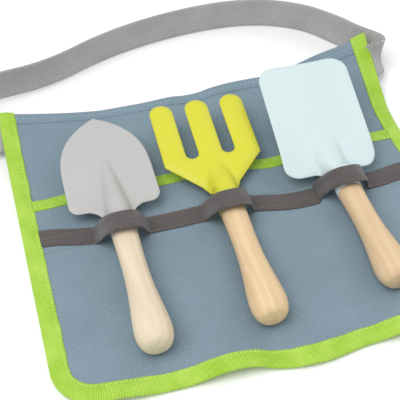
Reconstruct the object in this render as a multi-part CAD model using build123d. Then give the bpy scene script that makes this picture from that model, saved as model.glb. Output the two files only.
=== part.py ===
from build123d import *
import os
from math import cos, radians, sin, tan

# A child's gardening tool belt: a cloth apron with a pocket, three loops of flat
# tape that hold a trowel, a fork and a spade, and a waist strap with a buckle.
# Frame: the apron lies on z = 0, +X runs along its top edge, +Y goes up the apron
# towards the waist, and the origin is under the apron's middle.

# ---- driving sizes, in millimetres and degrees ----
apron_width, apron_height = 282.0, 246.0
bottom_corner_radius = 30.0
cloth = 0.9                      # thickness of one layer of cloth
binding_wall = 0.6               # thickness of the ribbed edge tape
binding_width = 11.0
hem_width = 9.0
hem_wall = 0.5
pocket_height = 170.0            # from the bottom edge to the pocket's mouth
pocket_binding_width = 9.0
left_lift_run, left_lift_drop, left_lift_angle = 68.0, 63.0, 23.0
right_lift_run, right_lift_drop, right_lift_angle = 54.0, 70.0, 41.0

tape_width, tape_wall = 15.0, 0.8
tape_middle = 2.75               # the tape's centre line, in Y
loop_air = 1.6                   # free space round a handle's thickest place
loop_foot = 7.0

sheet = 1.0                      # pressed steel of the blades
socket_radius = 8.7
socket_drop = 3.0                # the blade's sheet leaves the socket this far below its axis
rib_tip_radius = 1.6
tenon_length = 18.0
handle_neck_radius, handle_waist_radius = 8.5, 8.2
handle_bulge_radius, handle_end_radius = 11.7, 7.0
bulge_from_end = 14.0
nail_radius, nail_length = 0.9, 7.0
nail_head_radius, nail_head = 1.8, 0.7
nail_from_rim = 9.0

trowel_x, trowel_socket, trowel_tilt, trowel_handle_length = -77.5, 23.5, 8.0, 87.0
trowel_half_width, trowel_length, trowel_rib = 30.6, 83.5, 45.0
fork_x, fork_socket, fork_tilt, fork_handle_length = -5.0, 24.0, 7.5, 85.0
fork_half_width, fork_length, fork_rib = 34.0, 85.0, 24.0
tine_width, slot_width, slot_bottom, fork_shoulder = 16.5, 9.2, 33.5, 30.0
spade_x, spade_socket, spade_tilt, spade_handle_length = 76.5, 20.5, 16.0, 79.0
spade_half_width, spade_length, spade_rib = 33.0, 92.0, 42.0
spade_top_radius, spade_bottom_radius, spade_notch = 13.0, 17.0, 5.8

webbing_width, webbing = 25.0, 1.6
webbing_foot = 4.0               # the strap stands on its edge, this far above the ground
strap_tab_length, strap_tab_reach = 38.0, 13.0

buckle_from_side, strap_from_top = 31.0, 19.0   # the buckle's place beside the top left corner
housing_length, housing_depth, housing_wall = 33.0, 11.0, 1.8
buckle_height = 32.0
strap_bar, strap_slot, slot_play = 3.0, 3.4, 0.4
stem_length, stem_depth = 11.0, 6.5
guide_length, guide_height = 20.0, 6.0
prong_length, prong_height, prong_depth = 21.0, 4.0, 5.0
barb_length, barb_from_end = 8.0, 3.0
prong_air, prong_root_gap = 0.5, 0.6
keeper_length, keeper_wall, keeper_play = 10.0, 1.8, 0.35

fit = 0.05                       # seated fits, on the radius
cloth_gap = 0.3                  # between a tool and the cloth

# ---- derived sizes ----
half_w, half_h = apron_width / 2, apron_height / 2
panel_z = binding_wall                       # the apron's cloth lies on the tape's back half
pocket_z = panel_z + cloth
tape_z = pocket_z + cloth
binding_top = pocket_z + cloth + binding_wall
pocket_mouth = pocket_height - half_h
axis_z = tape_z + cloth_gap + handle_bulge_radius
loop_inner = handle_bulge_radius + loop_air
tenon_radius = socket_radius - sheet - fit
rim_y = tape_middle - tape_width / 2 - 9.0   # where each socket ends and its wood begins
buckle_end_x, buckle_y = -half_w - buckle_from_side, half_h - strap_from_top

parts = {}


def outline(grow=0.0):
    """The apron's outline, with its rounded bottom corners, grown by a margin."""
    shape = Pos(0, 0) * Rectangle(apron_width + 2 * grow, apron_height + 2 * grow)
    low = shape.vertices().group_by(Axis.Y)[0]
    return fillet(low, bottom_corner_radius + grow)


def lift_corner(solid, side, run, drop, angle):
    """Turn one top corner up about a slanting line, mitred where it bends."""
    start = Vector(side * (half_w - run), half_h, 0)
    end = Vector(side * half_w, half_h - drop, 0)
    along = (end - start).normalized()
    across = Vector(side * abs(along.Y), abs(along.X), 0)
    half = radians(angle / 2)
    # Each half keeps what is on its own side of the plane that halves the bend.
    flat_cut = Plane(start, x_dir=along, z_dir=across * cos(half) + Vector(0, 0, sin(half)))
    flap_cut = Plane(start, x_dir=along, z_dir=across * cos(half) - Vector(0, 0, sin(half)))
    flat = split(solid, flat_cut, keep=Keep.BOTTOM)
    flap = split(solid, flap_cut, keep=Keep.TOP)
    if not flap:
        return solid
    turned = flap.rotate(Axis(start, along), angle * side)
    return flat + turned if flat else turned


def lay(solid):
    """Lift both top corners of a sewn layer."""
    solid = lift_corner(solid, -1, left_lift_run, left_lift_drop, left_lift_angle)
    return lift_corner(solid, 1, right_lift_run, right_lift_drop, right_lift_angle)


def slab(face, low, height):
    return Pos(0, 0, low) * extrude(face, height)


# ---- the apron: one panel, a hem, a pocket and the ribbed tape round the edge ----
inside = Rectangle(apron_width - 2 * binding_width, 2 * apron_height)
panel_flat = slab(outline(), panel_z, cloth)
hem_face = Pos(0, half_h - hem_width / 2) * Rectangle(apron_width - 2 * binding_width, hem_width)
hem_flat = slab(hem_face, pocket_z, hem_wall)
pocket_cut = Pos(0, pocket_mouth - apron_height / 2) * Rectangle(2 * apron_width, apron_height)
pocket_flat = slab(outline() & pocket_cut, pocket_z, cloth)
mouth_face = Pos(0, pocket_mouth - pocket_binding_width / 2) * Rectangle(
    apron_width - 2 * binding_width, pocket_binding_width)
mouth_flat = slab(mouth_face, tape_z, binding_wall)

inner_edge = outline(-binding_width) + Pos(0, half_h - binding_width) * Rectangle(
    apron_width - 2 * binding_width, 3 * binding_width)
binding_face = (outline(binding_wall) - inner_edge) & (
    Pos(0, -binding_wall) * Rectangle(2 * apron_width, apron_height + binding_wall))
binding_flat = slab(binding_face, 0, binding_top) - panel_flat - pocket_flat

parts["apron_panel"] = lay(panel_flat)
parts["top_hem"] = lay(hem_flat)
parts["pocket_panel"] = pocket_flat
parts["pocket_binding"] = mouth_flat
parts["edge_binding"] = lay(binding_flat)

# Each strap end is a tab of webbing, sewn to the back of a lifted corner.
tab_y = buckle_y - 0.5
for name, side in (("left", -1), ("right", 1)):
    tab_x = side * (half_w + strap_tab_reach - strap_tab_length / 2)
    tab = Pos(tab_x, tab_y, -webbing / 2) * Box(strap_tab_length, webbing_width, webbing)
    parts["strap_tab_" + name] = lay(tab)

# ---- the tape: flat runs sewn to the pocket, and a loop over each tool ----
tools = (("trowel", trowel_x), ("fork", fork_x), ("spade", spade_x))
loop_half = loop_inner + tape_wall + loop_foot
loop_top = axis_z - tape_z
for name, x in tools:
    legs = Pos(0, loop_top / 2) * Rectangle(2 * (loop_inner + tape_wall), loop_top)
    feet = Pos(0, tape_wall / 2) * Rectangle(2 * loop_half, tape_wall)
    arch = Pos(0, loop_top) * Circle(loop_inner + tape_wall)
    tunnel = Pos(0, loop_top) * Circle(loop_inner)
    gap = Pos(0, loop_top / 2) * Rectangle(2 * loop_inner, loop_top)
    profile = legs + feet + arch - tunnel - gap
    keep = Pos(0, 2 * loop_top) * Rectangle(4 * loop_half, 4 * loop_top)
    place = Plane((x, tape_middle + tape_width / 2, tape_z), x_dir=(1, 0, 0), z_dir=(0, -1, 0))
    parts["tape_loop_" + name] = extrude(place * (profile & keep), tape_width)

edges = [-half_w + binding_width]
for name, x in tools:
    edges += [x - loop_half, x + loop_half]
edges.append(half_w - binding_width)
for number in range(4):
    left, right = edges[2 * number], edges[2 * number + 1]
    run = Pos((left + right) / 2, tape_middle, tape_z + tape_wall / 2) * Box(
        right - left, tape_width, tape_wall)
    parts["tape_run_%d" % (number + 1)] = run


# ---- the tools ----
def trowel_outline():
    w, reach = trowel_half_width, trowel_length
    side = [(w * 0.32, 0), (w * 0.60, 2.6), (w * 0.86, 7.5), (w * 0.975, 17.0), (w, 32.0),
            (w * 0.96, 50.0), (w * 0.80, 62.0), (w * 0.47, 75.0), (2.2, reach - 0.8)]
    right = Spline(side, tangents=[(0.6, 0.8), (-0.75, 0.66)])
    tip = ThreePointArc((2.2, reach - 0.8), (0, reach), (-2.2, reach - 0.8))
    left = Spline([(-x, y) for x, y in side], tangents=[(-0.6, 0.8), (0.75, 0.66)])
    base = Line((-side[0][0], 0), (side[0][0], 0))
    return make_face([right, tip, left, base])


def fork_outline():
    w, reach, r = fork_half_width, fork_length, tine_width / 2
    body = make_face(Polyline((socket_radius + 1, 0), (w, fork_shoulder), (w, slot_bottom + 6),
                              (-w, slot_bottom + 6), (-w, fork_shoulder),
                              (-socket_radius - 1, 0), close=True))
    for x in (r - w, 0, w - r):
        body += Pos(x, (reach - r + fork_shoulder) / 2) * Rectangle(tine_width, reach - r - fork_shoulder)
        body += Pos(x, reach - r) * Circle(r)
    slot_x = (tine_width + slot_width) / 2
    for x in (-slot_x, slot_x):
        body -= Pos(x, slot_bottom + slot_width / 2) * Circle(slot_width / 2)
        body -= Pos(x, slot_bottom + slot_width / 2 + reach / 2) * Rectangle(slot_width, reach)
    return body


def spade_outline():
    w, reach = spade_half_width, spade_length
    body = Pos(0, (reach + 1.5) / 2) * Rectangle(2 * w, reach - 1.5)
    rows = body.vertices().group_by(Axis.Y)
    body = fillet(rows[-1], spade_top_radius)
    body = fillet(body.vertices().group_by(Axis.Y)[0], spade_bottom_radius)
    for side in (-1, 1):
        x = side * (socket_radius + spade_notch / 2 + 0.4)
        body -= Pos(x, 1.5 + spade_notch / 2) * Rectangle(spade_notch, spade_notch)
    return body + Pos(0, 2.5) * Rectangle(2 * socket_radius, 5.0)


def half_cone(grow, socket, rib, tilt):
    """The pressed rib: it narrows from the socket to a point on the blade."""
    start = Plane((0, socket, 0), x_dir=(1, 0, 0), z_dir=(0, 1, 0))
    reach, rise = rib * cos(radians(tilt)), rib * sin(radians(tilt))
    end = Plane((0, socket + reach, rise - socket_drop), x_dir=(1, 0, 0), z_dir=(0, 1, 0))
    return loft([start * Circle(socket_radius + grow), end * Circle(rib_tip_radius + grow)])


def blade(face, socket, rib, tilt):
    """One pressed blade: flat sheet, raised rib and rolled socket."""
    flat = Plane((0, socket, -socket_drop), x_dir=(1, 0, 0),
                 z_dir=(0, -sin(radians(tilt)), cos(radians(tilt))))
    hollow = half_cone(-sheet, socket, rib, tilt)
    plate = extrude(flat * face, sheet) - hollow
    above = flat * (Pos(0, 0, 50) * Box(200, 400, 100))
    ridge = (half_cone(0, socket, rib, tilt) - hollow) & above
    ring = extrude(Circle(socket_radius) - Circle(socket_radius - sheet), -socket)
    tube = Plane((0, 0, 0), x_dir=(1, 0, 0), z_dir=(0, -1, 0)) * ring
    return plate + ridge + tube - nail_pin(fit)


def handle(length):
    """Turned wood: a tenon in the socket, a slim neck, a bulge and a flat end."""
    bulge_y = bulge_from_end - length
    swell = handle_bulge_radius - handle_waist_radius
    grip = Spline([(handle_neck_radius, -fit), (handle_waist_radius, -0.2 * length),
                   (handle_waist_radius + 0.09 * swell, -0.4 * length),
                   (handle_waist_radius + 0.43 * swell, -0.62 * length),
                   (handle_bulge_radius, bulge_y)], tangents=[(0, -1), (0, -1)])
    nose = Spline([(handle_bulge_radius, bulge_y), (handle_bulge_radius * 0.93, bulge_y - 8.0),
                   (handle_end_radius, -length)], tangents=[(0, -1), (-1, -0.35)])
    rest = Polyline((handle_end_radius, -length), (0, -length), (0, tenon_length),
                    (tenon_radius, tenon_length), (tenon_radius, -fit), (handle_neck_radius, -fit))
    face = make_face([grip, nose, rest])
    return revolve(face, Axis.Y) - nail_pin(fit)


def nail_pin(grow=0.0):
    """A small nail that holds the wood, driven in from underneath."""
    shank = Cylinder(nail_radius + grow, nail_length + grow, align=(Align.CENTER, Align.CENTER, Align.MIN))
    head = Cylinder(nail_head_radius, nail_head, align=(Align.CENTER, Align.CENTER, Align.MAX))
    pin = shank if grow else shank + head
    return Pos(0, nail_from_rim, -socket_radius) * pin


for name, x, socket, tilt, length, rib, face in (
        ("trowel", trowel_x, trowel_socket, trowel_tilt, trowel_handle_length, trowel_rib, trowel_outline()),
        ("fork", fork_x, fork_socket, fork_tilt, fork_handle_length, fork_rib, fork_outline()),
        ("spade", spade_x, spade_socket, spade_tilt, spade_handle_length, spade_rib, spade_outline())):
    place = Pos(x, rim_y, axis_z)
    parts[name + "_blade"] = place * blade(face, socket, rib, tilt)
    parts[name + "_handle"] = place * handle(length)
    parts[name + "_nail"] = place * nail_pin()

# ---- the waist strap: webbing standing on its edge, in straight runs and tangent arcs ----
strap_z = webbing_foot + webbing_width / 2
housing_mouth_x = buckle_end_x - housing_length
strap_frame = strap_slot + strap_bar
long_end_x = housing_mouth_x - stem_length - strap_frame


def by_right(x, y):
    return (half_w + x, half_h + y)


def by_left(x, y):
    return (-half_w + x, half_h + y)


long_route = [by_right(-2, -25), by_right(11, -20), by_right(13, -6), by_right(3, 12),
              by_right(-10, 34), by_right(-34, 59), by_right(-77, 76), (6, half_h + 73),
              by_left(90, 68), by_left(43, 52), by_left(-5, 34.5), by_left(-61, 17.5),
              by_left(-95, 7), by_left(-116, -3), by_left(-116, -strap_from_top),
              (long_end_x, buckle_y)]
short_route = [(buckle_end_x + strap_frame, buckle_y), by_left(-1.5, -strap_from_top)]
keeper_run = 10                  # the keeper rides on the run that starts at this point
gentle = {keeper_run: 0.12, keeper_run + 1: 0.12}


def webbing_along(name, route, shares):
    """A strap on edge: its plan is a ribbon of constant thickness."""
    points = [Vector(x, y) for x, y in route]
    radii = []
    for i in range(1, len(points) - 1):
        before, after = points[i] - points[i - 1], points[i + 1] - points[i]
        turn = before.get_angle(after)
        shorter = min(before.length, after.length)
        radii.append(shares.get(i, 0.45) * shorter / tan(radians(turn) / 2))
    path = FilletPolyline(*points, radius=radii) if radii else Line(*points)
    solid = slab(trace(path, webbing), webbing_foot, webbing_width)
    print(name, "radii", [round(r) for r in radii], "length", round(path.length, 1),
          "section x length", round(webbing * webbing_width * path.length),
          "volume", round(solid.volume))
    return solid


parts["strap_long"] = webbing_along("strap_long", long_route, gentle)
parts["strap_short"] = webbing_along("strap_short", short_route, {})

# ---- the keeper: a loop of plastic that slides along the strap ----
here, there = Vector(*long_route[keeper_run]), Vector(*long_route[keeper_run + 1])
middle = (here + there) / 2
keeper_plane = Plane((middle.X, middle.Y, strap_z), x_dir=there - here, z_dir=(0, 0, 1))
hole_depth, hole_height = webbing + 2 * keeper_play, webbing_width + 2 * keeper_play
ring = Box(keeper_length, hole_depth + 2 * keeper_wall, hole_height + 2 * keeper_wall)
ring = fillet(ring.edges().filter_by(Axis.X), 1.2)
parts["strap_keeper"] = keeper_plane * (ring - Box(2 * keeper_length, hole_depth, hole_height))

# ---- the side-release buckle, on its edge like the strap ----
slot_height = webbing_width + 2 * slot_play
cavity_height = buckle_height - 2 * housing_wall
cavity_depth = housing_depth - 2 * housing_wall
cavity_length = guide_length + 4.0
mouth = Pos(housing_mouth_x, buckle_y, strap_z)        # the buckle grows along +X from here


def block(x, length, depth, height, z=0.0):
    return Pos(x + length / 2, 0, z) * Box(length, depth, height)


housing = block(0, housing_length, housing_depth, buckle_height)
housing = fillet(housing.edges().filter_by(Axis.X), 3.0)
housing += block(housing_length, strap_frame, stem_depth, buckle_height)
housing -= block(-1, cavity_length + 1, cavity_depth, cavity_height)
housing -= block(housing_length, strap_slot, housing_depth, slot_height)
window = block(prong_root_gap + prong_length - barb_from_end - barb_length - 1.0, barb_length + 2.0,
               prong_depth + 1.0, buckle_height + 2)
parts["buckle_housing"] = mouth * (housing - window)

insert = block(-stem_length, stem_length - 0.3, stem_depth, buckle_height)
insert += block(-stem_length - strap_frame, strap_frame, stem_depth, buckle_height)
insert -= block(-stem_length - strap_slot, strap_slot, housing_depth, slot_height)
insert += block(-1, guide_length + 1, prong_depth, guide_height)
parts["buckle_insert"] = mouth * insert

prong_z = cavity_height / 2 - prong_air - prong_height / 2
barb_height = housing_wall + prong_air
for name, side in (("upper", 1), ("lower", -1)):
    prong = block(prong_root_gap - 0.3, prong_length, prong_depth, prong_height)
    barb = block(prong_root_gap + prong_length - barb_from_end - barb_length - 0.3, barb_length,
                 prong_depth, barb_height, side * (prong_height + barb_height) / 2)
    parts["buckle_prong_" + name] = mouth * Pos(0, 0, side * prong_z) * (prong + barb)

os.makedirs("parts", exist_ok=True)
for name, solid in parts.items():
    export_step(solid, "parts/" + name + ".step")
print(len(parts), "nodes; handle axis", round(axis_z, 2), "rims at y", round(rim_y, 2),
      "strap middle z", strap_z)
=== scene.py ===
# %% [markdown]
# # A child's gardening belt
# The real thing is a cotton apron with a pocket, bound round its edge with ribbed
# tape. Three loops of flat tape hold a trowel, a fork and a spade, and a strap of
# webbing goes round the waist. The hard parts come from a drawing made to scale.
# The soft parts are made again here, because cloth needs folds, weave and stitches.

# %% The drawing to work from
import math

import bmesh
import bpy
from mathutils import Matrix, Vector, geometry, noise


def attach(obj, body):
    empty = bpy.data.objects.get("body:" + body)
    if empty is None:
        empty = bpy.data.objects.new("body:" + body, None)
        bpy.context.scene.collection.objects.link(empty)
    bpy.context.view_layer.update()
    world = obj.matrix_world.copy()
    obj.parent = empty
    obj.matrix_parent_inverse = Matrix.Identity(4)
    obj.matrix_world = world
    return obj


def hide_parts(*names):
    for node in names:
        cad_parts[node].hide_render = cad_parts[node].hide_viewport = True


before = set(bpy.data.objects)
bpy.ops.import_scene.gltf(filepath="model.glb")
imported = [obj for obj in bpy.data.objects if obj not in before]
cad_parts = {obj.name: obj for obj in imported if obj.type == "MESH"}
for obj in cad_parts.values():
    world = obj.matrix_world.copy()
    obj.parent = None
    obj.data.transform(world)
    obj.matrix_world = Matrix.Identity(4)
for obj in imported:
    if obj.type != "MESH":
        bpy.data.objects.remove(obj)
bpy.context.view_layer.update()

MM = 0.001


def put(name, data):
    """A new object in the scene, holding a mesh, a lamp or a camera."""
    made = bpy.data.objects.new(name, data)
    bpy.context.scene.collection.objects.link(made)
    return made

# %% [markdown]
# ## The view
# A shop picture looks down on the belt from the front left. A long lens keeps the
# tools' sides nearly parallel, so a 90 mm lens stands a good way back.

# %% The camera
camera = put("camera", bpy.data.cameras.new("camera"))
camera.location = (-0.1427, -0.4289, 0.4993)
camera.rotation_euler = (math.radians(42.9), 0, math.radians(-15.4))
camera.data.lens = 90
camera.data.sensor_width = 36
camera.data.clip_start = 0.01
bpy.context.scene.camera = camera
print("camera stands", round(camera.location.length, 3), "m from the apron's middle")

# %% [markdown]
# ## Helpers for the finishes
# Colours are written as they look on a screen and turned to linear light once.
# One function adds any node, with its settings and its links, to any tree. The short
# ones after it add the few kinds that every finish uses, and hand back their output.

# %% Colour and nodes
def linear(hexadecimal):
    """A screen colour such as 7F98A8, as the linear colour that a shader needs."""
    shares = [int(hexadecimal[i:i + 2], 16) / 255 for i in (0, 2, 4)]
    return tuple(c / 12.92 if c <= 0.04045 else ((c + 0.055) / 1.055) ** 2.4 for c in shares) + (1.0,)


def node(tree, kind, feeds=None, **settings):
    """Adds one node, sets its properties and fills its sockets with values or links."""
    made = tree.nodes.new(kind)
    for name, value in settings.items():
        setattr(made, name, value)
    for socket, value in (feeds or {}).items():
        if isinstance(value, bpy.types.NodeSocket):
            tree.links.new(value, made.inputs[socket])
        else:
            made.inputs[socket].default_value = value
    return made


def finish_named(name):
    """An empty material, ready for its nodes."""
    made = bpy.data.materials.new(name)
    made.use_nodes = True
    made.node_tree.nodes.clear()
    return made, made.node_tree


def calc(tree, operation, *values):
    """A sum or product of numbers and outputs."""
    return node(tree, "ShaderNodeMath", dict(enumerate(values)), operation=operation).outputs[0]


def noise_at(tree, place, scale, detail, **more):
    """Noise over a map or over the object's own coordinates, with its scale in cells a metre."""
    feeds = {"Vector": place, "Scale": scale, "Detail": detail, **more}
    return node(tree, "ShaderNodeTexNoise", feeds).outputs["Fac"]


def spread(tree, value, low, high, first, last):
    """Stretches the values from low to high, so that they run from first to last."""
    return node(tree, "ShaderNodeMapRange", {0: value, 1: low, 2: high, 3: first, 4: last}).outputs[0]


def between(tree, share, first, second):
    """A colour between two, each one a screen colour or an output."""
    first, second = (linear(c) if isinstance(c, str) else c for c in (first, second))
    return node(tree, "ShaderNodeMix", {"Factor": share, 6: first, 7: second}, data_type="RGBA").outputs[2]


def times(tree, colour, share):
    """A colour made darker or lighter."""
    colour = linear(colour) if isinstance(colour, str) else colour
    return node(tree, "ShaderNodeMix", {"Factor": 1.0, 6: colour, 7: share}, data_type="RGBA",
                blend_type="MULTIPLY").outputs[2]


def relief(tree, height, strength, depth):
    """Roughens a surface by this depth in mm."""
    feeds = {"Height": height, "Strength": strength, "Distance": depth * MM}
    return node(tree, "ShaderNodeBump", feeds).outputs["Normal"]


def surface(tree, colour, roughness, **more):
    """Ends a finish. Other sockets are named with _ for a space."""
    feeds = {"Base Color": colour, "Roughness": roughness}
    feeds.update({socket.replace("_", " "): value for socket, value in more.items()})
    shader = node(tree, "ShaderNodeBsdfPrincipled", feeds)
    node(tree, "ShaderNodeOutputMaterial", {"Surface": shader.outputs["BSDF"]})


def own_place(tree):
    """The object's own coordinates, in metres."""
    return node(tree, "ShaderNodeTexCoord").outputs["Object"]


def flat_map(tree):
    """A strip's or a cloth's flat map, in metres."""
    return node(tree, "ShaderNodeUVMap", uv_map="flat_map").outputs["UV"]


def both_ways(tree, place):
    """The first and the second coordinate of a place."""
    apart = node(tree, "ShaderNodeSeparateXYZ", {0: place})
    return apart.outputs["X"], apart.outputs["Y"]


def wave_over(tree, value, pitch):
    """A sine of one coordinate with this pitch in mm."""
    return calc(tree, "SINE", calc(tree, "MULTIPLY", value, 2 * math.pi / (pitch * MM)))

# %% [markdown]
# ## The table and the light
# The belt lies on a plain white table under a wide soft lamp, with white walls all
# round. Big light sources make the faint, wide shadows of a shop picture.

# %% Table
white_table, tree = finish_named("matt_white_laminate")
speckle = node(tree, "ShaderNodeTexNoise", {"Scale": 900.0, "Detail": 2.0}).outputs["Fac"]
surface(tree, between(tree, speckle, "FAFAFA", "FEFEFE"), 0.9, Specular_IOR_Level=0.1)

table_mesh = bpy.data.meshes.new("table")
table_mesh.from_pydata([(x, y, -0.0004) for x, y in ((-4, -4), (4, -4), (4, 4), (-4, 4))], [], [(0, 1, 2, 3)])
table_mesh.materials.append(white_table)
table = put("table", table_mesh)

# %% Light
world = bpy.data.worlds.new("white_room")
bpy.context.scene.world = world
world.use_nodes = True
world.node_tree.nodes.clear()
sky = node(world.node_tree, "ShaderNodeBackground", {"Color": (1.0, 1.0, 1.0, 1.0), "Strength": 0.62})
node(world.node_tree, "ShaderNodeOutputWorld", {"Surface": sky.outputs["Background"]})

for name, place, aim, width, power in (("wide_lamp", (-0.7, -0.25, 1.5), (0, 0, 0), 1.3, 17.0),
                                       ("fill_lamp", (1.1, 0.5, 1.0), (0, 0.05, 0), 0.9, 4.0)):
    lamp_data = bpy.data.lights.new(name, "AREA")
    lamp_data.energy, lamp_data.size = power, width
    lamp = put(name, lamp_data)
    lamp.location = place
    lamp.rotation_euler = (Vector(aim) - Vector(place)).to_track_quat("-Z", "Y").to_euler()
bpy.context.scene.view_settings.view_transform = "Standard"

# %% [markdown]
# ## The lie of the cloth
# Everything sewn to the apron follows one rule: how high the back of the cloth
# stands at each place of the flat cut. Each top corner is tugged up by the strap, the
# bottom edge waves, and a soft valley runs down under the middle tool. Because all
# layers ask the same function, they stay on each other as sewn layers do.

# %% How the apron lies
half_width, half_height = 141.0, 123.0      # the flat cut, in mm
corner_radius = 30.0                        # its rounded bottom corners
right_lift, left_lift, waist_lift = 25.0, 14.5, 5.0     # how high the top edge stands at three places
bottom_waves = ((-38, 30, 5.6), (-112, 34, 5.0))        # (middle, half its width, height) of each wave


def ease(t):
    """0 to 1 with a soft start and a soft end."""
    t = min(max(t, 0.0), 1.0)
    return t * t * (3 - 2 * t)


def ramp(t, power):
    """0 before the fold, then rising faster and faster, and level past 1.2."""
    return min(max(t, 0.0), 1.2) ** power


def hump(t):
    """A soft bump, 0 at -1 and 1, and 1 in the middle."""
    return 0.0 if abs(t) >= 1 else 0.5 + 0.5 * math.cos(math.pi * t)


def lie(x, y):
    """Where the back of the cloth is, in mm, for a place on the flat cut."""
    top_right = ramp((x - 62) / 80, 1.3) * ramp((y - 72) / 51, 1.3)
    top_left = ramp((-x - 66) / 75, 1.3) * ramp((y - 58) / 65, 1.3)
    high = right_lift * top_right + left_lift * top_left
    high += waist_lift * ease(x / 42) * ramp((y - 78) / 45, 1.4) * (1 - ease((x - 95) / 40))
    low = 1 - ease((y + 123) / 34)
    high += low * (sum(tall * hump((x - middle) / half) for middle, half, tall in bottom_waves)
                   + 6.0 * ease((x - 48) / 34))
    valley = x + 2.5 - y * 0.037
    high += 1.1 * ease((abs(valley) - 6) / 10) * (1 - ease((abs(valley) - 14) / 26))
    high += 0.25 + 0.25 * noise.noise(Vector((x / 42, y / 42, 3.7)))
    pull = -5.2 * hump((x - 12) / 42) * low
    drawn_in = -3.0 * ease((x - 105) / 36) * hump((y - 48) / 62)
    return Vector((x + drawn_in, y + 6.0 * top_right + pull, high))


def on_cloth(x, y, above):
    """A point that many millimetres off the back of the cloth, square to it."""
    here = lie(x, y)
    normal = (lie(x + 1, y) - here).cross(lie(x, y + 1) - here).normalized()
    return here + normal * above


print("corners stand", [round(lie(x, half_height).z, 1) for x in (-half_width, half_width)], "mm high")

# %% [markdown]
# ## Making a strip or a tube
# A strap, a tape or a binding is one outline of its thickness, carried along a path.
# `loft` joins a row of such outlines, gives them a flat map in metres (length along,
# width across) for the weave to follow, and closes both ends.

# %% Strips
def new_piece(name, mesh, finish, body):
    """Puts a finished mesh in the scene, on its body and with its finish."""
    if finish:
        mesh.materials.clear()
        mesh.materials.append(finish)
    made = put(name, mesh)
    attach(made, body)
    return made


def loft(name, rings, along, across):
    """A mesh through a row of outlines; along and across map it, in mm."""
    wide = len(rings[0])
    points = [p * MM for ring in rings for p in ring]
    faces, maps = [], []
    for i in range(len(rings) - 1):
        for j in range(wide):
            k = (j + 1) % wide
            faces.append((i * wide + j, i * wide + k, (i + 1) * wide + k, (i + 1) * wide + j))
            maps += [(along[i], across[j]), (along[i], across[j + 1]),
                     (along[i + 1], across[j + 1]), (along[i + 1], across[j])]
    faces += [tuple(range(wide - 1, -1, -1)), tuple(range((len(rings) - 1) * wide, len(rings) * wide))]
    maps += [(along[0], across[j]) for j in range(wide - 1, -1, -1)]
    maps += [(along[-1], across[j]) for j in range(wide)]
    mesh = bpy.data.meshes.new(name)
    mesh.from_pydata(points, [], faces)
    mesh.update()
    layer = mesh.uv_layers.new(name="flat_map")
    for corner, (u, v) in zip(layer.data, maps):
        corner.uv = (u * MM, v * MM)
    mesh.shade_smooth()
    return mesh


def outward(mesh):
    """Turns a closed mesh's faces out."""
    work = bmesh.new()
    work.from_mesh(mesh)
    bmesh.ops.recalc_face_normals(work, faces=work.faces)
    work.to_mesh(mesh)
    work.free()
    return mesh

# %% [markdown]
# ## Webbing for the waist
# Waist straps are woven of thick grey polypropylene yarn. The weave floats over and
# under in a chequer, so light catches a small bead at each crossing. Two waves,
# along and across the strap, multiplied, give that chequer, as a bump and as painted
# light in the colour: a painted highlight on each bead and painted shade between them.
# It follows the strap's own map, so it never slides off the bends.

# %% Webbing finish
woven_webbing, tree = finish_named("woven_polypropylene_webbing")
flat = flat_map(tree)
along, across = both_ways(tree, flat)
yarns = calc(tree, "MULTIPLY", wave_over(tree, along, 1.9), wave_over(tree, across, 2.3))
fuzz = noise_at(tree, flat, 900.0, 3.0)
worn = spread(tree, noise_at(tree, flat, 45.0, 2.0), 0.3, 0.7, 0.92, 1.06)
# Painted highlight on each bead and painted shade between the beads, both taken from the yarns waves.
shade = between(tree, spread(tree, yarns, -0.5, 0.8, 0.0, 1.0), "848585", "CFCFCE")
surface(tree, times(tree, shade, worn), 0.62, IOR=1.49, Sheen_Weight=0.15,
        Normal=relief(tree, calc(tree, "ADD", yarns, fuzz), 0.6, 0.2))
print("webbing beads are 1.9 mm apart along the strap")

# %% [markdown]
# ## The waist strap
# One strap is sewn behind the right corner, folds back on itself, stands on its edge
# in a wide arc behind the apron and ends in the buckle on the left. A smooth curve
# goes through the strap's middle. At each point of it a direction says which way is
# up across the webbing, and that turns slowly, as stiff webbing does.

# %% The strap's line
strap_width, strap_thickness = 25.0, 1.6
strap_route = [(127, 107, lie(127, 105).z - 1.6), (139, 110, lie(139, 105).z - 0.6), (150, 112.5, 16.5),
               (151, 121, 15.0), (143, 133, 13.4), (131, 154, 12.8), (107, 182, 12.6), (64, 199, 12.6),
               (6, 198, 12.6), (-51, 185, 12.8), (-98, 161.5, 13.5), (-146, 153.0, 16.5), (-202, 144.5, 16.5),
               (-236, 131, 16.5), (-257, 120, 16.5), (-257, 104, 16.5), (-222.4, 104, 16.5)]
# How far along the strap, in mm, and the direction of its upper edge there.
upper_edge = [(0, (0.0, 0.90, 0.44)), (12, (0.0, 0.88, 0.47)), (24, (0.25, 0.45, 0.85)), (36, (0.25, 0.33, 0.91)),
              (60, (0.08, 0.18, 0.98)), (110, (0.0, 0.02, 1.0)), (600, (0.0, 0.0, 1.0))]


def smooth_line(name, route):
    """The points of a smooth curve that is drawn towards the points of a route."""
    curve = bpy.data.curves.new(name, "CURVE")
    curve.dimensions = "3D"
    line = curve.splines.new("NURBS")
    line.points.add(len(route) - 1)
    for point, place in zip(line.points, route):
        point.co = (place[0] * MM, place[1] * MM, place[2] * MM, 1.0)
    line.order_u = 3
    line.use_endpoint_u = True
    line.resolution_u = 14
    holder = bpy.data.objects.new(name, curve)
    drawn = bpy.data.meshes.new_from_object(holder)
    points = [v.co.copy() for v in drawn.vertices]
    bpy.data.objects.remove(holder)
    return points


def lengths_along(points):
    """How far along the line each of its points is."""
    far = [0.0]
    for before, after in zip(points, points[1:]):
        far.append(far[-1] + (after - before).length)
    return far


def keyed(keys, far):
    """The direction at a distance, between the two nearest keys."""
    for (a, first), (b, second) in zip(keys, keys[1:]):
        if far <= b:
            return Vector(first).lerp(Vector(second), ease((far - a) / (b - a)))
    return Vector(keys[-1][1])


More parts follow.
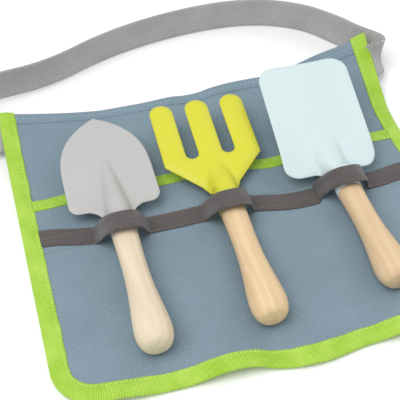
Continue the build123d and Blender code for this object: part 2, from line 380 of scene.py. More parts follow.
def webbing_strip(name, points, keys):
    """A strap of webbing along a line, in mm, with its upper edge turned as keyed."""
    far = lengths_along(points)
    half, thick = strap_width / 2, strap_thickness / 2
    steps = [half - 0.5 - i * (strap_width - 1.0) / 8 for i in range(9)]
    outline = [(half, 0.0)] + [(s, thick) for s in steps] + [(-half, 0.0)] + [(s, -thick) for s in reversed(steps)]
    across = [h for h, n in outline] + [half]
    rings = []
    for i, point in enumerate(points):
        along = (points[min(i + 1, len(points) - 1)] - points[max(i - 1, 0)]).normalized()
        up = keyed(keys, far[i])
        up = (up - along * up.dot(along)).normalized()
        face = along.cross(up)
        rings.append([point + up * h + face * n for h, n in outline])
    return outward(loft(name, rings, far, across))


strap_line = [p / MM for p in smooth_line("strap_line", strap_route)]
waist_strap = new_piece("waist_strap", webbing_strip("waist_strap", strap_line, upper_edge),
                        woven_webbing, "apron")
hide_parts("strap_long", "strap_tab_right")

# %% The short strap on the left
short_route = [(-166, 104, 16.5), (-158, 104.5, 16.2), (-148, 105.5, lie(-141, 105).z + 4.0),
               (-139, 106, max(lie(-139, 105).z - 0.9, 1.0)), (-127, 106, max(lie(-127, 105).z - 1.0, 1.0))]
short_edge = [(0, (0.0, 0.0, 1.0)), (6, (0.0, 0.1, 0.99)), (26, (0.0, 0.93, 0.36)), (60, (0.0, 0.95, 0.3))]
short_line = [p / MM for p in smooth_line("short_line", short_route)]
short_strap = new_piece("short_strap", webbing_strip("short_strap", short_line, short_edge),
                        woven_webbing, "apron")
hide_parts("strap_short", "strap_tab_left")
print("short strap:", round(lengths_along(short_line)[-1], 1), "mm long")

# %% [markdown]
# ## Cotton twill
# The apron is blue-grey cotton in a twill weave, where each thread steps sideways
# over the last one. That leaves fine slanting cords. The cords here are 1.2 mm
# apart, a little coarser than real ones, so that they still show at this distance.

# %% Canvas finish
cotton_twill, tree = finish_named("cotton_twill_dyed_blue_grey")
flat = flat_map(tree)
slant = node(tree, "ShaderNodeMapping", {"Vector": flat, "Rotation": (0, 0, math.radians(-32))}).outputs["Vector"]
along, across = both_ways(tree, slant)
weave = calc(tree, "MULTIPLY_ADD", wave_over(tree, along, 1.5), 0.45, wave_over(tree, across, 1.2))
threads = calc(tree, "MULTIPLY_ADD", noise_at(tree, flat, 620.0, 4.0, Roughness=0.7), 1.6, weave)
shade = between(tree, spread(tree, threads, -0.7, 2.3, 0.0, 1.0), "5F7685", "9AADB9")
fade = spread(tree, noise_at(tree, flat, 26.0, 3.0), 0.3, 0.7, 0.93, 1.05)
surface(tree, times(tree, shade, fade), 0.88, Specular_IOR_Level=0.25, Sheen_Weight=0.2, Sheen_Roughness=0.4,
        Normal=relief(tree, threads, 0.5, 0.2))
print("twill cords 1.2 mm apart, at 32 degrees")

# %% [markdown]
# ## The panel and the pocket
# The back panel and the pocket are cut from the same cloth, with the same rounded
# bottom corners. Each is a grid of rows across the cut, laid on the apron's surface
# and given its thickness of 0.9 mm. Cloth simulation would only relax the folds
# that belong here, so the folds come from the rule above.

# %% Cloth layers
def width_at(y):
    """Half the width of the flat cut at this height."""
    down = corner_radius - half_height - y
    return half_width if down <= 0 else half_width - corner_radius + math.sqrt(max(corner_radius ** 2 - down ** 2, 0))


def sag(x):
    """The pocket's mouth hangs below a straight line: by how much, as a negative height."""
    return -3.2 * hump((x + 126) / 44) - 1.8 * hump((x + 40) / 42) - 5.6 * hump((x - 36) / 40)


def cloth_layer(name, top, under, over, columns=96, drift=lambda x: 0.0):
    """A layer of the apron from the bottom edge up to a height on the flat cut."""
    rows = [-half_height + corner_radius * (1 - math.cos(i * math.pi / 18)) for i in range(9)]
    count = round((top - rows[-1] - 3) / 2.6)
    rows += [rows[-1] + (top - rows[-1]) * (i + 1) / count for i in range(count)]
    flat_places = []
    for y in rows:
        for i in range(columns + 1):
            x = width_at(y) * (2 * i / columns - 1)
            flat_places.append((x, y + drift(x) * ease((y - top + 30) / 26)))
    wide, size = columns + 1, len(flat_places)
    points = [on_cloth(x, y, off) * MM for off in (over, under) for x, y in flat_places]
    faces = []
    for r in range(len(rows) - 1):
        for c in range(columns):
            a = r * wide + c
            faces.append((a, a + 1, a + 1 + wide, a + wide))
            faces.append((size + a, size + a + wide, size + a + 1 + wide, size + a + 1))
    last = len(rows) - 1
    rim = list(range(wide)) + [r * wide + columns for r in range(1, last + 1)]
    rim += [last * wide + c for c in range(columns - 1, -1, -1)] + [r * wide for r in range(last - 1, 0, -1)]
    for a, b in zip(rim, rim[1:] + rim[:1]):
        faces.append((a, size + a, size + b, b))
    mesh = bpy.data.meshes.new(name)
    mesh.from_pydata(points, [], faces)
    layer = mesh.uv_layers.new(name="flat_map")
    for loop in mesh.loops:
        x, y = flat_places[loop.vertex_index % size]
        layer.data[loop.index].uv = (x * MM, y * MM)
    mesh.shade_smooth()
    return mesh


mouth = 47.0                                # the pocket's mouth, on the flat cut
panel = new_piece("panel", cloth_layer("panel", half_height, 0.6, 1.5), cotton_twill, "apron")
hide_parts("apron_panel")
pocket = new_piece("pocket", cloth_layer("pocket", mouth, 1.5, 2.4, drift=sag), cotton_twill, "apron")
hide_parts("pocket_panel")
print("panel and pocket:", len(panel.data.polygons), "and", len(pocket.data.polygons), "faces")

# %% [markdown]
# ## The hem along the waist
# The top edge is folded over and stitched down, so it is a thin roll of the same
# cloth. It is one outline of that fold, carried along the edge.

# %% The hem
def edging(name, ends, outline, step=3.0, drift=lambda x: 0.0):
    """A sewn strip along the cloth from side to side; its outline is (height on the cut, distance off the cloth)."""
    count = round((ends[1] - ends[0]) / step)
    places = [ends[0] + (ends[1] - ends[0]) * i / count for i in range(count + 1)]
    rings = [[on_cloth(x, y + drift(x), off) for y, off in outline] for x in places]
    return outward(loft(name, rings, places, [y for y, off in outline] + [outline[0][0]]))


hem_outline = [(114.2, 1.5), (114.5, 1.95), (116, 2.15), (119, 2.2), (122, 2.1), (123.3, 1.8), (123.7, 1.1),
               (123.2, 0.45), (121, 0.2), (114.2, 0.5)]
hem = new_piece("hem", edging("hem", (-131, 131), hem_outline), cotton_twill, "apron")
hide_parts("top_hem")

# %% [markdown]
# ## Ribbed edge tape
# The raw edge is hidden in a folded tape of lime green grosgrain, which has fine
# ribs straight across it and a slightly toothed edge. Its ribs come from a wave
# along the tape's own map. The tape is an outline of a folded tape, carried
# round the apron from one top corner to the other.

# %% Lime tape finish
lime_grosgrain, tree = finish_named("woven_polyester_grosgrain_lime")
flat = flat_map(tree)
along, across = both_ways(tree, flat)
weave = calc(tree, "MULTIPLY_ADD", wave_over(tree, across, 1.1), 0.35, wave_over(tree, along, 1.45))
ribs = calc(tree, "MULTIPLY_ADD", noise_at(tree, flat, 700.0, 3.0), 1.5, weave)
deep = spread(tree, noise_at(tree, flat, 60.0, 3.0), 0.32, 0.68, 0.0, 1.0)
colour = between(tree, spread(tree, ribs, -0.6, 2.1, 0.0, 1.0), between(tree, deep, "82B628", "9BC73C"),
                 between(tree, deep, "B4DA45", "C7E967"))
surface(tree, colour, 0.7, Specular_IOR_Level=0.3, Sheen_Weight=0.15, Normal=relief(tree, ribs, 0.6, 0.22))

# %% The edge binding
def walk_round(step):
    """Places round the cut from the left top corner, with the way inwards at each, and how far along."""
    low, side, top = corner_radius - half_height, half_width - corner_radius, half_height + 1.2
    left = [(Vector((-half_width, top - i * step)), Vector((1, 0))) for i in range(int((top - low) / step))]
    turn_steps = int(corner_radius * math.pi / 2 / step)
    for i in range(turn_steps + 1):
        a = math.pi + i / turn_steps * math.pi / 2
        out = Vector((math.cos(a), math.sin(a)))
        left.append((Vector((-side, low)) + out * corner_radius, -out))
    count = int(2 * side / step)
    bottom = [(Vector((-side + 2 * side * i / count, -half_height)), Vector((0, 1))) for i in range(1, count)]
    places = left + bottom + [(Vector((-p.x, p.y)), Vector((-n.x, n.y))) for p, n in reversed(left)]
    return places, lengths_along([p for p, n in places])


def edge_thickness(y):
    """How thick the apron is under its edge tape: one layer above the pocket, two beside it."""
    return 2.3 + 0.7 * ease((54 - y) / 9)


def fold_outline(i, p, far):
    """The folded tape's outline at one place: (how far in from the edge, how far off the cloth's back)."""
    thick = edge_thickness(p.y)
    inner = 11.0 + (0.22 if i % 2 else -0.22) + 0.7 * noise.noise(Vector((far / 14, 0, 5)))
    puff = 0.25 * noise.noise(Vector((far / 9, 8, 0))) + 0.15
    return [(inner, thick - 0.55), (inner, thick - 0.1), (inner - 0.4, thick + 0.12), (inner - 1.8, thick + 0.02),
            (inner - 3.6, thick + 0.2 + puff), (inner - 6.2, thick + 0.3 + puff), (3.0, thick + 0.2),
            (1.2, thick - 0.1), (0.0, thick - 0.55), (-0.55, thick / 2 + 0.3), (-0.55, thick / 2 - 0.3),
            (0.0, 0.45), (1.2, 0.1), (4.0, 0.02), (8.0, 0.02), (10.8, 0.05), (10.8, 0.6)]


places, far = walk_round(1.1)
rings = []
for i, (p, inwards) in enumerate(places):
    rings.append([on_cloth(*(p + inwards * into), off) for into, off in fold_outline(i, p, far[i])])
around = lengths_along([Vector(corner) for corner in fold_outline(0, places[0][0], 0)])
edge_binding = new_piece("edge_tape", outward(loft("edge_tape", rings, far, around + [around[-1] + 1.5])),
                         lime_grosgrain, "apron")
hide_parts("edge_binding")
print("edge tape:", round(far[-1]), "mm long,", len(rings), "outlines")

# %% The pocket's mouth
mouth_outline = [(38.0, 2.4), (38.0, 2.95), (38.5, 3.1), (39.8, 3.05), (42.5, 3.35), (45, 3.3), (46.8, 3.0),
                 (47.7, 2.5), (47.8, 1.95), (47.0, 1.56), (44, 1.52), (38.4, 1.6)]
mouth_tape = new_piece("mouth_tape", edging("mouth_tape", (-131, 131), mouth_outline, 2.0, sag),
                       lime_grosgrain, "apron")
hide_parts("pocket_binding")

# %% [markdown]
# ## The tape that holds the tools
# One length of dark brown cotton tape is sewn across the pocket and stands up in a
# loop over each tool's socket. The loops are wider than they are high and lean
# towards the handles. The tape's line is smooth, with a few points for each loop.

# %% Brown tape finish
brown_tape, tree = finish_named("brushed_cotton_herringbone_tape")
flat = flat_map(tree)
along, across = both_ways(tree, flat)
bones = wave_over(tree, calc(tree, "ADD", along, calc(tree, "PINGPONG", across, 5 * MM)), 1.2)
threads = calc(tree, "MULTIPLY_ADD", noise_at(tree, flat, 500.0, 5.0, Roughness=0.75), 3.5, bones)
surface(tree, between(tree, spread(tree, threads, 0.4, 3.2, 0.0, 1.0), "4A4544", "6B6564"), 0.92,
        Specular_IOR_Level=0.2, Sheen_Weight=0.3, Normal=relief(tree, threads, 0.5, 0.18))

# %% Where the tools are
# In mm and degrees: the middle of each tool, the slope of its blade, how long its socket
# is and where the painted rim starts, how long its handle is, and its loop's middle with
# the reach to the left and to the right foot. Some stand a little turned in the loop.
rim_y, tape_middle, axis_height, socket_drop = -13.75, 2.75, 14.4, 3.0
socket_radius, socket_bore = 8.7, 7.7
tools = {"trowel": {"x": -77.5, "tilt": 8.0, "socket": 23.5, "rim": 3.0, "handle": 87.0, "loop": (-77.5, 16.0, 16.0)},
         "fork": {"x": -4.6, "tilt": 7.5, "socket": 24.0, "rim": 4.0, "handle": 85.0, "loop": (-4.5, 16.6, 15.8),
                  "turn": -0.7},
         "spade": {"x": 75.5, "tilt": 16.0, "socket": 20.5, "rim": 0.2, "handle": 79.0, "loop": (75.9, 15.3, 17.0),
                   "askew": (-3.6, 0.036), "swing": 0.032}}

# %% The looped tape
# Half of a loop, from its foot to its top: distance from the tool's middle, height over the tape, in mm.
loop_side = [(26, 0.0), (22, 0.0), (19.0, 0.3), (16.6, 2.0), (14.7, 6.5), (13.2, 12.5), (11.2, 18.2), (7.2, 22.6),
             (3.6, 24.0)]
loop_top, loop_lean = 24.0, -12.0
tape_width = 15.0


def tape_route():
    """The tape's points from side to side: (x, how far forward it leans, height over the flat tape)."""
    stops = [(x, 0) for x in (-130.5, -120, -110)]
    for tool in tools.values():
        middle, left, right = tool["loop"]
        stops += [(middle - out * left / 16, high) for out, high in loop_side] + [(middle, loop_top)]
        stops += [(middle + out * right / 16, high) for out, high in reversed(loop_side)]
    stops += [(x, 0) for x in (108, 118, 130.5)]
    return [(x, tape_middle + loop_lean * (high / loop_top) ** 1.15, high) for x, high in stops]


def wander(x):
    """How far the sewn tape strays from its straight line."""
    return (6.0 * ease((-x - 94) / 36) + 1.0 * ease((-x - 60) / 30) - 4.6 * hump((x - 46) / 44)
            - 2.0 * hump((x - 76) / 24) + 3.4 * ease((x - 98) / 30))


flat_line = [p / MM for p in smooth_line("tape_line", tape_route())]
far = lengths_along(flat_line)
thick, half = 0.4, tape_width / 2
outline = [(half, 0.0), (half - 0.4, thick), (half - 2.2, thick + 0.08), (0, thick), (2.2 - half, thick + 0.08),
           (0.4 - half, thick), (-half, 0.0), (0.4 - half, -thick), (0, -thick), (half - 0.4, -thick)]
tape_bed = 2.8                              # the tape's middle lies this high off the cloth's back
rings = []
for i, p in enumerate(flat_line):
    before, after = flat_line[max(i - 1, 0)], flat_line[min(i + 1, len(flat_line) - 1)]
    along = Vector((after.x - before.x, 0, after.z - before.z)).normalized()
    across_tape = Vector((0, 1, 0.06 * min(p.z / loop_top, 1.0)))
    face = along.cross(across_tape).normalized()
    ring = []
    for w, t in outline:
        sewn = on_cloth(p.x, tape_middle + wander(p.x) + w, tape_bed + t)
        raised = p + Vector((0, 0, tape_bed + 0.3)) + across_tape * w + face * t
        ring.append(sewn.lerp(raised, ease(p.z / 2.0)))
    rings.append(ring)
loop_tape = new_piece("loop_tape", outward(loft("loop_tape", rings, far, [w for w, t in outline] + [half])),
                      brown_tape, "apron")
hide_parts(*["tape_loop_" + name for name in tools], *["tape_run_%d" % n for n in (1, 2, 3, 4)])
print("tape is", round(far[-1]), "mm long before sewing")

# %% [markdown]
# ## Stitches
# A running stitch is a short thread that shows, then a gap. Geometry Nodes walks
# along any seam line, puts a small rounded thread at every pitch and turns it to
# follow the seam. One tree serves every seam; only its named sizes change.

# %% Thread finish
def thread_finish(name, hexadecimal):
    """Twisted polyester sewing thread."""
    made, tree = finish_named(name)
    twist = noise_at(tree, own_place(tree), 1800.0, 2.0)
    surface(tree, times(tree, hexadecimal, spread(tree, twist, 0.3, 0.7, 0.82, 1.05)), 0.55,
            Normal=relief(tree, twist, 0.4, 0.1))
    return made


pale_thread = thread_finish("polyester_thread_pale_blue", "A6CBD9")
tan_thread = thread_finish("polyester_thread_tan", "A08D84")
lime_thread = thread_finish("polyester_thread_lime", "DDF58E")
brown_thread = thread_finish("polyester_thread_brown", "3E3736")

# %% The stitching tree
stitching = bpy.data.node_groups.new("running_stitch", "GeometryNodeTree")
for label, kind in (("Seam", "Geometry"), ("Pitch", "Float"), ("Stitch Length", "Float"), ("Thread Radius", "Float"),
                    ("Thread", "Material")):
    stitching.interface.new_socket(label, in_out="INPUT", socket_type="NodeSocket" + kind)
stitching.interface.new_socket("Stitches", in_out="OUTPUT", socket_type="NodeSocketGeometry")
enter = node(stitching, "NodeGroupInput")
walk = node(stitching, "GeometryNodeMeshToCurve", {0: enter.outputs["Seam"]})
marks = node(stitching, "GeometryNodeCurveToPoints", {"Curve": walk.outputs[0], "Length": enter.outputs["Pitch"]},
             mode="LENGTH")
thread_bead = node(stitching, "GeometryNodeMeshUVSphere", {"Segments": 6, "Rings": 6, "Radius": 1.0})
half_length = node(stitching, "ShaderNodeMath", {0: enter.outputs["Stitch Length"], 1: 0.5}, operation="MULTIPLY")
bead_size = node(stitching, "ShaderNodeCombineXYZ", {"X": half_length.outputs[0], "Y": enter.outputs["Thread Radius"],
                                                     "Z": enter.outputs["Thread Radius"]})
follow = node(stitching, "FunctionNodeAlignRotationToVector", {"Vector": marks.outputs["Tangent"]}, axis="X")
placed = node(stitching, "GeometryNodeInstanceOnPoints", {"Points": marks.outputs["Points"],
                                                          "Instance": thread_bead.outputs["Mesh"],
                                                          "Rotation": follow.outputs["Rotation"],
                                                          "Scale": bead_size.outputs["Vector"]})
real = node(stitching, "GeometryNodeRealizeInstances", {0: placed.outputs["Instances"]})
soft = node(stitching, "GeometryNodeSetShadeSmooth", {"Geometry": real.outputs[0]})
dyed = node(stitching, "GeometryNodeSetMaterial", {"Geometry": soft.outputs[0], "Material": enter.outputs["Thread"]})
node(stitching, "NodeGroupOutput", {0: dyed.outputs["Geometry"]})


def sew(name, seams, thread, pitch, stitch, radius):
    """Sews running stitches along seam lines, each a list of points in mm, and returns the stitches."""
    points, edges = [], []
    for seam in seams:
        edges += [(len(points) + i, len(points) + i + 1) for i in range(len(seam) - 1)]
        points += [p * MM for p in seam]
    guide = bpy.data.meshes.new(name + "_seam")
    guide.from_pydata(points, edges, [])
    holder = put(name + "_seam", guide)
    sewing = holder.modifiers.new("stitches", "NODES")
    sewing.node_group = stitching
    values = {"Pitch": pitch * MM, "Stitch Length": stitch * MM, "Thread Radius": radius * MM, "Thread": thread}
    for item in stitching.interface.items_tree:
        if item.item_type == "SOCKET" and item.in_out == "INPUT" and item.name in values:
            sewing[item.identifier] = values[item.name]
    holder.update_tag()
    mesh = bpy.data.meshes.new_from_object(holder.evaluated_get(bpy.context.evaluated_depsgraph_get()))
    mesh.name = name
    bpy.data.objects.remove(holder)
    print(name + ":", len(mesh.polygons) // 36, "stitches")
    return new_piece(name, mesh, None, "apron")

# %% Seams
def across_cloth(y, off, start, end, step=4.0):
    """A seam line from side to side of the apron."""
    count = max(2, round(abs(end - start) / step))
    return [on_cloth(start + (end - start) * i / count, y, off) for i in range(count + 1)]


seams = [sew("hem_stitches", [across_cloth(118.6, 2.3, -128, 128)], pale_thread, 3.4, 2.3, 0.3)]

tape_edges = [across_cloth(tape_middle + side * 6.1, 3.35, start, end)
              for start, end in ((-129.5, -96), (-59, -21.5), (15.5, 56), (93, 129.5)) for side in (-1, 1)]
seams.append(sew("tape_stitches", tape_edges, tan_thread, 2.6, 1.7, 0.2))

bars = [[on_cloth(tool["x"] + side * 17.6, tape_middle - 7.0 + 1.4 * i, 3.3) for i in range(11)]
        for tool in tools.values() for side in (-1, 1)]
seams.append(sew("bar_stitches", bars, brown_thread, 1.5, 1.2, 0.3))

ring_seam = [on_cloth(*(p + inwards * 9.3), edge_thickness(p.y) + 0.12) for p, inwards in walk_round(3.0)[0]]
seams.append(sew("binding_stitches", [ring_seam], lime_thread, 2.9, 1.9, 0.22))
seams.append(sew("mouth_stitches", [across_cloth(39.4, 3.15, -129, 129)], lime_thread, 2.9, 1.9, 0.22))

# %% [markdown]
# ## Painted steel
# The three blades are stamped from steel sheet 1 mm thick and powder coated. The
# coat is satin and very slightly pebbled, and it thins a little at the cut edges.

# %% Paint finishes
def powder_coat(name, hexadecimal, roughness):
    """Baked powder paint on steel, with its faint orange peel and a slow change of tone."""
    made, tree = finish_named(name)
    place = own_place(tree)
    peel = noise_at(tree, place, 420.0, 2.0)
    tone = spread(tree, noise_at(tree, place, 18.0, 2.0), 0.3, 0.7, 0.975, 1.015)
    gloss = spread(tree, peel, 0.3, 0.7, roughness - 0.04, roughness + 0.05)
    surface(tree, times(tree, hexadecimal, tone), gloss, IOR=1.5, Normal=relief(tree, peel, 0.35, 0.12))
    return made


grey_coat = powder_coat("powder_coated_steel_light_grey", "B9B9B7", 0.5)
lime_coat = powder_coat("powder_coated_steel_lime_yellow", "D6D335", 0.45)
pale_coat = powder_coat("powder_coated_steel_pale_blue", "CFDFE1", 0.45)

# %% [markdown]
# ## Pressed blades
# A press cuts each outline from sheet and raises a rib that runs into the rolled
# socket. The outline is drawn flat with its corners rounded. Points on a grid fill
# it, and a rule gives each point its height. The cut edge gets a small round, so it
# catches the light as a dipped and painted edge does.

# %% Cutting a blade
def rounded(corners, step=1.2):
    """A closed outline through corners (x, y, radius), each rounded with an arc."""
    points = []
    count = len(corners)
    for i, (x, y, radius) in enumerate(corners):
        here = Vector((x, y))
        back = Vector(corners[i - 1][:2]) - here
        ahead = Vector(corners[(i + 1) % count][:2]) - here
        turn = back.angle(ahead, 0.0)
        if radius <= 0.01 or turn > math.pi - 0.01:
            points.append(here)
            continue
        cut = min(radius / math.tan(turn / 2), 0.499 * back.length, 0.499 * ahead.length)
        radius = cut * math.tan(turn / 2)
        centre = here + (back.normalized() + ahead.normalized()).normalized() * (radius / math.sin(turn / 2))
        first, last = here + back.normalized() * cut - centre, here + ahead.normalized() * cut - centre
        sweep = first.angle_signed(last)
        pieces = max(2, round(abs(sweep) * radius / step), round(abs(sweep) / 0.25))
        for k in range(pieces + 1):
            points.append(centre + Matrix.Rotation(-sweep * k / pieces, 2) @ first)
    dense = []
    for a, b in zip(points, points[1:] + points[:1]):
        parts_count = max(1, round((b - a).length / step))
        dense += [a.lerp(b, k / parts_count) for k in range(parts_count)]
    return dense


def both_sides(half):
    """The whole outline from its right half, which runs from the neck to the tip."""
    return half + [(-x, y, r) for x, y, r in reversed(half) if x > 0.01]


def edge_distance(p, outline):
    """How far a place is from the cut edge, and whether it is inside."""
    nearest, inside = 1e9, False
    for a, b in zip(outline, outline[1:] + outline[:1]):
        run = b - a
        share = min(max((p - a).dot(run) / max(run.length_squared, 1e-9), 0), 1)
        nearest = min(nearest, (a + run * share - p).length)
        if (a.y > p.y) != (b.y > p.y) and p.x < (b.x - a.x) * (p.y - a.y) / (b.y - a.y) + a.x:
            inside = not inside
    return nearest, inside


def pressed(name, outline, raise_by, place, step=1.7, sheet=1.0, round_off=0.32):
    """A blade from its outline, its rule of height, and the function that puts it in place."""
    area = sum(a.x * b.y - b.x * a.y for a, b in zip(outline, outline[1:] + outline[:1]))
    if area < 0:
        outline = outline[::-1]
    count = len(outline)
    inset = []
    for i in range(count):
        way = (outline[(i + 1) % count] - outline[i - 1]).normalized()
        inset.append(outline[i] + Vector((-way.y, way.x)) * round_off)
    low = Vector((min(p.x for p in outline), min(p.y for p in outline)))
    high = Vector((max(p.x for p in outline), max(p.y for p in outline)))
    filling, edges_off = [], []
    for row in range(int((high.y - low.y) / step) + 1):
        for column in range(int((high.x - low.x) / step) + 1):
            p = Vector((low.x + (column + 0.5 * (row % 2)) * step, low.y + (row + 0.5) * step))
            off, inside = edge_distance(p, outline)
            if inside and off > 0.75 * step + round_off:
                filling.append(p)
                edges_off.append(off)
    edges_off = [0.0] * count + edges_off
    flat_points, _, triangles, origin, _, _ = geometry.delaunay_2d_cdt(
        inset + filling, [(i, (i + 1) % count) for i in range(count)], [], 1, 1e-6)
    heights = [raise_by(p.x, p.y, edges_off[o[0]] if o else 0.0) for p, o in zip(flat_points, origin)]
    size = len(flat_points)
    where = {o[0]: i for i, o in enumerate(origin) if o}
    points = [place(p.x, p.y, h + sheet) for p, h in zip(flat_points, heights)]
    points += [place(p.x, p.y, h) for p, h in zip(flat_points, heights)]
    rim = [where[i] for i in range(count)]
    for off in (0.3, 0.7):
        points += [place(outline[i].x, outline[i].y, heights[rim[i]] + sheet * (1 - off)) for i in range(count)]
    faces = [tuple(t) for t in triangles] + [tuple(size + i for i in reversed(t)) for t in triangles]
    upper, lower = 2 * size, 2 * size + count
    for i in range(count):
        k = (i + 1) % count
        faces += [(rim[k], rim[i], upper + i, upper + k), (upper + k, upper + i, lower + i, lower + k),
                  (lower + k, lower + i, size + rim[i], size + rim[k])]
    mesh = bpy.data.meshes.new(name)
    mesh.from_pydata([p * MM for p in points], [], faces)
    mesh.update()
    return mesh

# %% Sockets and places
def on_socket(tool, across, along, up):
    """A place in a tool's own measure: across, along from the socket's rim, above the socket's middle."""
    turn = math.radians(tools[tool].get("turn", 0.0))
    y = rim_y - tape_middle + along
    return Vector((tools[tool]["x"] + across * math.cos(turn) - y * math.sin(turn),
                   tape_middle + across * math.sin(turn) + y * math.cos(turn), axis_height + up))


def on_blade(tool, across, along, up):
    """A place on a tool's sloping blade, which a press may leave a little askew."""
    tilt = math.radians(tools[tool]["tilt"])
    shift, skew = tools[tool].get("askew", (0.0, 0.0))
    across += shift * ease((along + 8) / 16) + skew * max(along, 0.0)
    return on_socket(tool, across, tools[tool]["socket"] + along * math.cos(tilt) - up * math.sin(tilt),
                     -socket_drop + along * math.sin(tilt) + up * math.cos(tilt))


def socket_mesh(tool):
    """A rolled socket with its seam underneath, closing under the blade."""
    first, last, rounds = math.radians(-59), math.radians(295), 40
    angles = [first + (last - first) * i / rounds for i in range(rounds + 1)]
    deep = tools[tool]["socket"]
    far = [tools[tool]["rim"], 8, 16, deep - 0.1]
    rings = []
    for along in far:
        outer = socket_radius - (0.05 if along > 16 else 0)
        both = [(outer, a) for a in angles] + [(socket_bore, a) for a in reversed(angles)]
        rings.append([on_socket(tool, r * math.cos(a), along, r * math.sin(a)) for r, a in both])
    return outward(loft(tool + "_socket", rings, far, [0.5 * i for i in range(len(rings[0]) + 1)]))


def throat_mesh(tool, length=17.0):
    """Under the neck, the rolled sheet closes in a half cone against the blade."""
    rings = []
    for i in range(9):
        t = i / 8
        radius = (socket_radius - 0.15) * (1 - t) ** 0.8 + 0.6
        ring = []
        for k in range(17):
            a = math.pi + math.pi * k / 16
            up = socket_drop * (1 - t) + math.sin(a) * radius * (1 - 0.25 * t) + 0.5 * t
            ring.append(on_blade(tool, radius * math.cos(a), length * t - 0.4, up))
        ring += [on_blade(tool, radius * 0.8 * math.cos(a), length * t - 0.4, socket_drop * (1 - t) + 0.4)
                 for a in (0.3, 1.2, 1.9, 2.8)]
        rings.append(ring)
    return outward(loft(tool + "_throat", rings, [length * i / 8 for i in range(9)], [i for i in range(22)]))


def make_tool(tool, corners, raise_by, coat):
    """Joins blade, throat and socket to one painted piece."""
    blade = pressed(tool + "_pressing", rounded(corners), raise_by, lambda u, v, up: on_blade(tool, u, v, up))
    work = bmesh.new()
    for mesh in (blade, throat_mesh(tool), socket_mesh(tool)):
        work.from_mesh(mesh)
    joined = bpy.data.meshes.new(tool + "_pressing")
    work.to_mesh(joined)
    work.free()
    joined.shade_smooth()
    made = new_piece(tool + "_pressing", joined, coat, tool)
    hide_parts(tool + "_blade")
    print(tool, "pressing:", len(joined.polygons), "faces")
    return made


def raised_rib(across, along, length, sharpness, spread, end_height):
    """How far the press raises the rib that runs from the socket on to the blade."""
    t = min(max(along / length, 0.0), 1.0)
    high = (socket_radius + socket_drop - 0.85 - end_height) * (1 - t ** 1.5) ** sharpness + end_height
    high += max(-along, 0.0) * 0.14
    reach = (socket_radius + 0.4) * (1 - t) + 3.4 * t + spread * t * (1 - t)
    if abs(across) >= reach:
        return 0.0
    high *= 1 - ease((along - length + 0.5) / 2.6)
    return high * (1 - (across / reach) ** 2) ** (0.44 + 0.8 * t)


def flare(start, wide, along):
    """The concave edge from the socket's side out to the blade: half widths at growing heights."""
    return [(8.0 + (wide - 8.0) * (k / 6) ** 2.4, start + (along - start) * k / 6, 0) for k in range(7)]

# %% The trowel
trowel_half = flare(-11.0, 13.0, 2.5) + [(17.5, 5.2, 4.0), (31.0, 5.6, 11.5), (30.6, 34.0, 30)]
for k in range(11):
    t = k / 10
    x = (1 - t) ** 2 * 30.4 + 2 * t * (1 - t) * 29.5
    y = (1 - t) ** 2 * 39.0 + 2 * t * (1 - t) * 69.5 + t * t * 83.5
    trowel_half.append((x, y, 1.2 if k == 10 else 6.0))


def trowel_form(u, v, edge):
    return raised_rib(u, v, 45.0, 1.5, 1.0, 1.9) + 1.2 * (u / 31) ** 2 * ease(v / 20)


make_tool("trowel", both_sides(trowel_half), trowel_form, grey_coat)

# %% The fork
fork_half = flare(-11.0, 11.6, 5.0) + [(13.0, 8.0, 3.0), (34.0, 30.0, 0.9), (34.0, 85.0, 8.2), (17.5, 85.0, 8.2),
             (17.5, 33.5, 4.5), (8.3, 33.5, 4.5), (8.3, 85.0, 8.2)]


def fork_form(u, v, edge):
    folded = 1.7 * max(0.0, 1 - edge / 4.6) * ease((v - 1) / 7)
    return raised_rib(u, v, 30.0, 1.9, 8.0, 0.2) - folded


make_tool("fork", both_sides(fork_half), fork_form, lime_coat)

# %% The spade


spade_right = [(8.2, -8.5, 0), (8.8, 2.0, 1.0), (9.4, 6.0, 0.8), (11.8, 6.0, 0.8), (12.0, 1.7, 1.2),
               (33.0, 1.5, 17.5), (33.0, 92.0, 13.0)]
spade_left = [(-33.0, 92.0, 13.0), (-33.0, 1.5, 17.5), (-13.5, 1.6, 3.0)] + [
    (-x, y, r) for x, y, r in reversed(flare(-8.5, 10.8, 0.6))]


def spade_form(u, v, edge):
    dish = 2.6 * (abs(u) / 33) ** 2.4 * ease(v / 25)
    return raised_rib(u, v, 44.0, 2.3, 14.0, 0.2) + dish


make_tool("spade", spade_right + spade_left, spade_form, pale_coat)

# %% [markdown]
# ## Turned beech
# The handles are turned from beech and left bare. Beech is pale and even, with
# fine grain lines along the handle and short dark flecks. Noise stretched along
# the handle makes the grain; each handle is from another plank, so the tones differ.
# The shape is a lathe's: radii along the axis, joined smoothly and carried round.

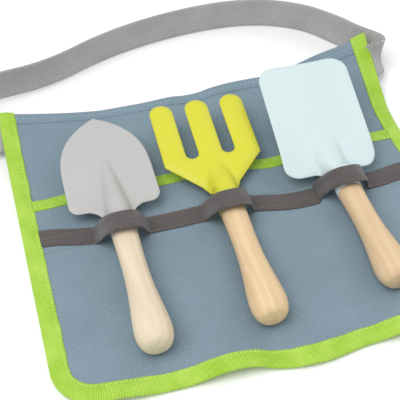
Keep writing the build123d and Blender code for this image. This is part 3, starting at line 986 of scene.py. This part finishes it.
# %% Wood finishes
def turned_beech(name, light, dark, shift):
    """Bare turned beech, its grain along the handle."""
    made, tree = finish_named(name)
    place = own_place(tree)
    long_way = node(tree, "ShaderNodeMapping", {"Vector": place, "Location": (shift, 0, 0),
                                                "Scale": (1.0, 0.045, 1.0)}).outputs["Vector"]
    grain = noise_at(tree, long_way, 420.0, 5.0, Roughness=0.65, Distortion=0.4)
    fleck = node(tree, "ShaderNodeTexVoronoi", {"Vector": long_way, "Scale": 1100.0}).outputs["Distance"]
    round_way = node(tree, "ShaderNodeMapping", {"Vector": place, "Location": (shift, 0, 0.03),
                                                 "Scale": (1.0, 0.18, 1.0)}).outputs["Vector"]
    year_rings = node(tree, "ShaderNodeTexWave", {"Vector": round_way, "Scale": 46.0, "Distortion": 5.0,
                                                  "Detail": 3.0, "Detail Scale": 1.2},
                      wave_type="RINGS", rings_direction="Y").outputs["Fac"]
    total = calc(tree, "ADD", calc(tree, "MULTIPLY", year_rings, 0.3), spread(tree, grain, 0.36, 0.68, 0.0, 0.4))
    flecked = times(tree, between(tree, total, light, dark), spread(tree, fleck, 0.0, 0.16, 0.95, 1.0))
    surface(tree, flecked, 0.55, IOR=1.47, Normal=relief(tree, grain, 0.25, 0.15))
    return made


# %% Turning the handles
def turned_handle(tool):
    """A handle as a lathe leaves it: thin at the socket, thickest near its end, with a small flat nose."""
    long, rim, swing = tools[tool]["handle"], tools[tool]["rim"], tools[tool].get("swing", 0.0)
    tenon = [(0.3, 17.0), (6.6, 17.0), (7.3, 16.0), (7.5, rim + 0.4), (8.2, rim - 0.1), (8.5, rim - 0.7)]
    waist = [(8.3, 0.08), (8.1, 0.2), (8.15, 0.34), (8.7, 0.48), (9.8, 0.62), (11.0, 0.74)]
    nose = [(11.7, 14.0), (11.75, 11.0), (11.4, 7.5), (10.5, 4.2), (9.1, 1.7), (7.6, 0.35), (6.6, 0.0), (0.3, 0.0)]
    shape = [Vector(p) for p in tenon] + [Vector((r, -share * long)) for r, share in waist]
    shape += [Vector((r, back - long)) for r, back in nose]
    smooth = []
    for i in range(len(shape) - 1):
        before, a, b, after = shape[max(i - 1, 0)], shape[i], shape[i + 1], shape[min(i + 2, len(shape) - 1)]
        for t in (0, 0.25, 0.5, 0.75) if 5 <= i <= 16 else (0,):
            smooth.append(0.5 * (2 * a + (b - before) * t + (2 * before - 5 * a + 4 * b - after) * t * t
                                 + (3 * a - 3 * b + after - before) * t ** 3))
    smooth.append(shape[-1])
    around = 64
    angles = [2 * math.pi * k / around for k in range(around)]
    rings = [[on_socket(tool, r * math.cos(a) + swing * max(-y, 0.0), y, r * math.sin(a)) for a in angles]
             for r, y in smooth]
    return outward(loft(tool + "_grip", rings, [y for r, y in smooth], [0.8 * k for k in range(around + 1)]))


for tool, light, dark, shift in (("trowel", "E4D6BE", "D3BF9F", 0.0), ("fork", "E8CDA6", "D6B283", 0.21),
                                 ("spade", "E1C7A4", "CFAC80", 0.43)):
    grip = new_piece(tool + "_grip", turned_handle(tool),
                     turned_beech("bare_turned_beech_" + tool, light, dark, shift), tool)
    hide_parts(tool + "_handle")
print("handles:", [tools[tool]["handle"] for tool in tools], "mm long")

# %% [markdown]
# ## Nails and the buckle
# A zinc plated nail holds each handle. The buckle and the strap's keeper are
# moulded acetal, a slippery plastic with a fine spark-eroded grain.

# %% Nail and plastic finishes
nail_zinc, tree = finish_named("zinc_plated_steel_nail")
gloss = spread(tree, noise_at(tree, own_place(tree), 1500.0, 3.0), 0.3, 0.7, 0.28, 0.45)
surface(tree, linear("B9BCBE"), gloss, Metallic=1.0)
for tool in tools:
    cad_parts[tool + "_nail"].material_slots[0].material = nail_zinc

moulded_acetal, tree = finish_named("moulded_acetal_dark_grey")
place = own_place(tree)
tone = between(tree, noise_at(tree, place, 60.0, 2.0), "3F4042", "4B4C4E")
surface(tree, tone, 0.42, IOR=1.48, Normal=relief(tree, noise_at(tree, place, 1600.0, 2.0), 0.35, 0.1))
buckle_pieces = [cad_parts[n] for n in ("buckle_housing", "buckle_insert", "buckle_prong_upper",
                                             "buckle_prong_lower", "strap_keeper")]
for piece in buckle_pieces:
    piece.material_slots[0].material = moulded_acetal
